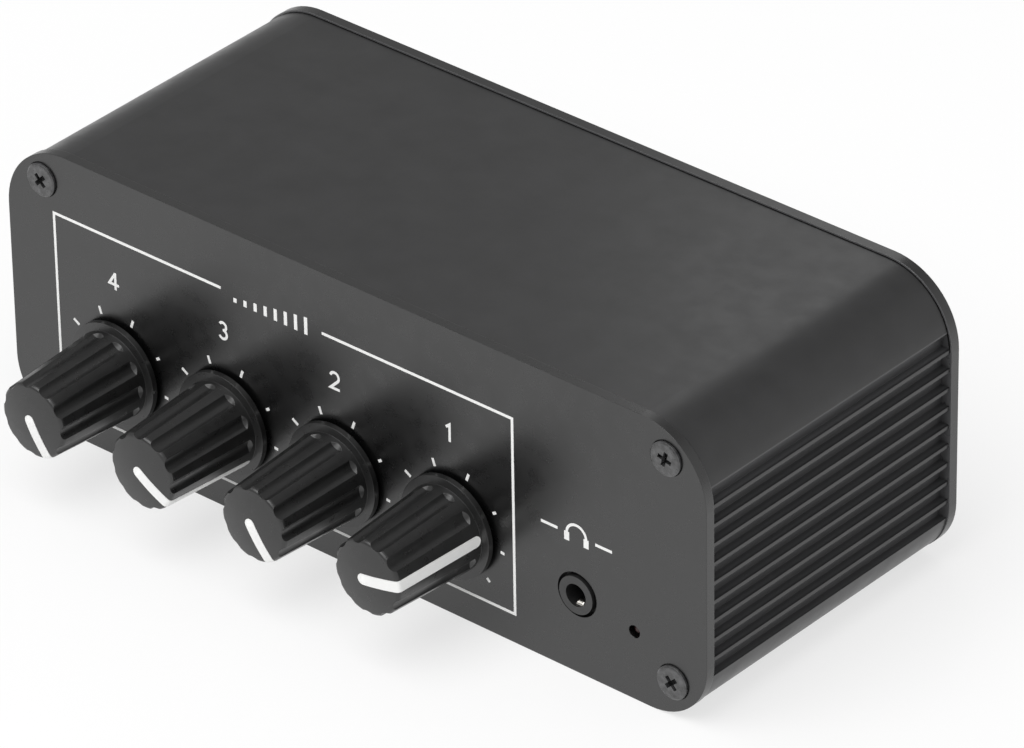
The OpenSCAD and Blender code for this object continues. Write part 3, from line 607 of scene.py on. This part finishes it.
def add_seam_shades():
    """The painted shade strips at the seams of both panels."""
    front_y, front_w = high("front_panel").y, 0.25
    rear_y, rear_w = low("rear_panel").y, 0.2
    # Painted shade: dark strips laid in the angles of the panels and the shell.
    material = seam_shade()
    seam_shade_strip("front_seam_shade", front_y, front_y + front_w, material)
    seam_shade_strip("rear_seam_shade", rear_y, rear_y - rear_w, material)


jack_spring()
add_seam_shades()


# Studio

def face_along(forward, roll_degrees):
    """Rotation of a camera that looks along forward, rolled with its right side up."""
    forward = forward.normalized()
    level = forward.cross(Vector((0, 0, 1))).normalized()
    upright = level.cross(forward)
    roll = math.radians(roll_degrees)
    right = math.cos(roll) * level + math.sin(roll) * upright
    up = math.cos(roll) * upright - math.sin(roll) * level
    return Matrix((right, up, -forward)).transposed()


def add_camera():
    """The photograph's view: from the right, above the front."""
    heading, tilt, roll_degrees = math.radians(41.280), math.radians(32.046), -0.961
    place, lens_mm, film_mm = (0.65998, -0.74448, 0.64150), 289.88, 36.0
    level = Vector((-math.sin(heading), math.cos(heading), 0))
    forward = math.cos(tilt) * level - math.sin(tilt) * Vector((0, 0, 1))
    data = bpy.data.cameras.new("camera")
    data.sensor_width = film_mm
    data.lens = lens_mm
    camera = bpy.data.objects.new("camera", data)
    camera.matrix_world = Matrix.Translation(place) @ face_along(forward, roll_degrees).to_4x4()
    bpy.context.scene.collection.objects.link(camera)
    bpy.context.scene.camera = camera


def seen_part(tree, unseen, seen):
    """One value where the camera or the gloss looks at a surface, and another where it only sheds light."""
    path = add_node(tree, "ShaderNodeLightPath")
    looks = path.outputs["Is Camera Ray"]
    for other in ("Is Glossy Ray", "Is Transmission Ray"):
        looks = combined(tree, "MAXIMUM", looks, path.outputs[other])
    return mapped(tree, looks, unseen, seen, 0, 1)


def lift_to_white(tree, shader, part):
    """Mixes white into what the camera and the gloss see of a surface, which keeps its shadows."""
    white = add_node(tree, "ShaderNodeEmission", Color=(1, 1, 1, 1), Strength=1.0)
    mix = add_node(tree, "ShaderNodeMixShader")
    tree.links.new(seen_part(tree, 0, part), mix.inputs["Fac"])
    tree.links.new(shader.outputs["BSDF"], mix.inputs[1])
    tree.links.new(white.outputs["Emission"], mix.inputs[2])
    tree.links.new(mix.outputs["Shader"], tree.nodes["Material Output"].inputs["Surface"])


def add_floor():
    """A wide pale floor just under the base."""
    half, drop = 2.5, 0.05 * MM
    mesh = bmesh.new()
    bmesh.ops.create_grid(mesh, x_segments=4, y_segments=4, size=half)
    data = bpy.data.meshes.new("floor")
    mesh.to_mesh(data)
    mesh.free()
    floor = bpy.data.objects.new("floor", data)
    floor.location.z = -drop
    bpy.context.scene.collection.objects.link(floor)
    material, tree, shader = new_material("floor_white")
    shader.inputs["Base Color"].default_value = (0.93, 0.93, 0.93, 1)
    shader.inputs["Roughness"].default_value = 0.9
    shader.inputs["Specular IOR Level"].default_value = 0.1
    lift_to_white(tree, shader, part=0.68)
    data.materials.append(material)


def add_world():
    """A grey tent all round the object, darker overhead and brighter on the right."""
    walls, roof, right_wall = 0.49, 0.4, 0.24
    roof_edge, roof_full = 0.6, 0.78
    right_edge, right_full = 0.2, 0.65
    world = bpy.data.worlds.new("studio")
    world.use_nodes = True
    tree = world.node_tree
    at = axes(tree, "Generated")
    level = mapped(tree, at["Z"], walls, roof, roof_edge, roof_full)
    level.node.interpolation_type = "SMOOTHSTEP"
    right = mapped(tree, at["X"], 0, right_wall, right_edge, right_full)
    light = tree.nodes["Background"]
    light.inputs["Color"].default_value = (1, 1, 1, 1)
    tree.links.new(combined(tree, "ADD", level, right), light.inputs["Strength"])
    bpy.context.scene.world = world


def add_lamp(name, place, target, size, power):
    """A square soft light that looks at a point."""
    data = bpy.data.lights.new(name, "AREA")
    data.size = size
    data.energy = power
    lamp = bpy.data.objects.new(name, data)
    aim = Vector(target) - Vector(place)
    lamp.matrix_world = Matrix.Translation(place) @ aim.to_track_quat("-Z", "Y").to_matrix().to_4x4()
    bpy.context.scene.collection.objects.link(lamp)


add_camera()
add_floor()
add_world()
add_lamp("key", (-0.1, -0.7, 1.3), (0, 0, 0.02), size=1.4, power=18.6)
add_lamp("card", (-0.038, 0.14, 0.164), (0.085, 0, 0.047), size=0.07, power=0.0148)
bpy.context.scene.view_settings.view_transform = "Standard"
